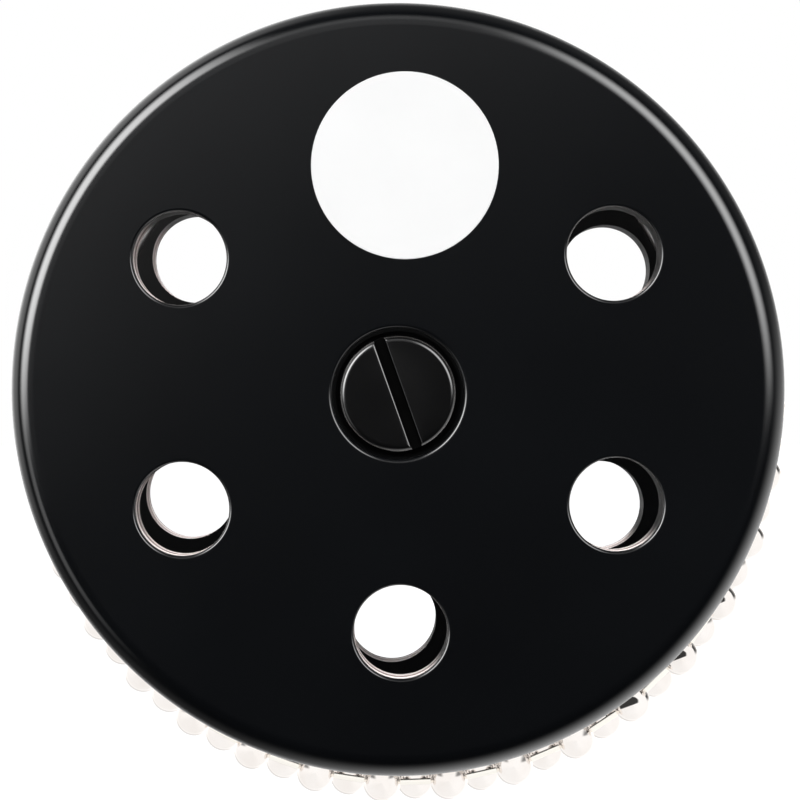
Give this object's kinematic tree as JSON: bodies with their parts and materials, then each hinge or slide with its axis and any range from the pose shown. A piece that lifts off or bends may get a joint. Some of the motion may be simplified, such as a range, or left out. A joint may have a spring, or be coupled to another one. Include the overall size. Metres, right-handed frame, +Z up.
{
  "type": "cabasa",
  "caption": "Hand percussion cabasa: textured steel drum between black discs with sound holes, loose loops of metal beads that turn round the drum, and a turned handle.",
  "frame": {"origin": "middle of the handle's grip, on the drum's axis", "axes": "+Y along the drum's axis towards the end of the handle, +Z up with the bead loops hanging down, so the front disc faces -Y"},
  "size_m": [0.1251, 0.1672, 0.1292],
  "materials": {
    "black_lacquer": "satin black lacquer on wood",
    "textured_steel": "embossed stainless sheet",
    "black_steel": "satin black coated steel",
    "spacer_metal": "plain turned tube",
    "insert_brass": "plain brass",
    "label_white": "smooth white vinyl",
    "bead_nickel": "bright nickel plating",
    "link_brass": "bright wire"
  },
  "bodies": {
    "head": {"front_disc": "black_lacquer", "rear_disc": "black_lacquer", "drum_shell": "textured_steel", "center_bolt": "black_steel", "bolt_washer": "black_steel", "spacer_tube": "spacer_metal", "threaded_insert": "insert_brass", "handle": "black_lacquer", "round_label": "label_white"},
    "loop_1": {"bead_loop_1": "bead_nickel", "loop_links_1": "link_brass"},
    "loop_2": {"bead_loop_2": "bead_nickel", "loop_links_2": "link_brass"},
    "loop_3": {"bead_loop_3": "bead_nickel", "loop_links_3": "link_brass"},
    "loop_4": {"bead_loop_4": "bead_nickel", "loop_links_4": "link_brass"},
    "loop_5": {"bead_loop_5": "bead_nickel", "loop_links_5": "link_brass"},
    "loop_6": {"bead_loop_6": "bead_nickel", "loop_links_6": "link_brass"}
  },
  "joints": [
    {"name": "loop_1_turn", "type": "hinge", "parent": "head", "child": "loop_1", "pos_m": [0.001, -0.1085, -0.00435], "axis": [0, 1, 0], "continuous": true},
    {"name": "loop_2_turn", "type": "hinge", "parent": "head", "child": "loop_2", "pos_m": [0.001, -0.1019, -0.00435], "axis": [0, 1, 0], "continuous": true},
    {"name": "loop_3_turn", "type": "hinge", "parent": "head", "child": "loop_3", "pos_m": [0.001, -0.0953, -0.00435], "axis": [0, 1, 0], "continuous": true},
    {"name": "loop_4_turn", "type": "hinge", "parent": "head", "child": "loop_4", "pos_m": [0.001, -0.0887, -0.00435], "axis": [0, 1, 0], "continuous": true},
    {"name": "loop_5_turn", "type": "hinge", "parent": "head", "child": "loop_5", "pos_m": [0.001, -0.0821, -0.00435], "axis": [0, 1, 0], "continuous": true},
    {"name": "loop_6_turn", "type": "hinge", "parent": "head", "child": "loop_6", "pos_m": [0.001, -0.0755, -0.00435], "axis": [0, 1, 0], "continuous": true}
  ]
}
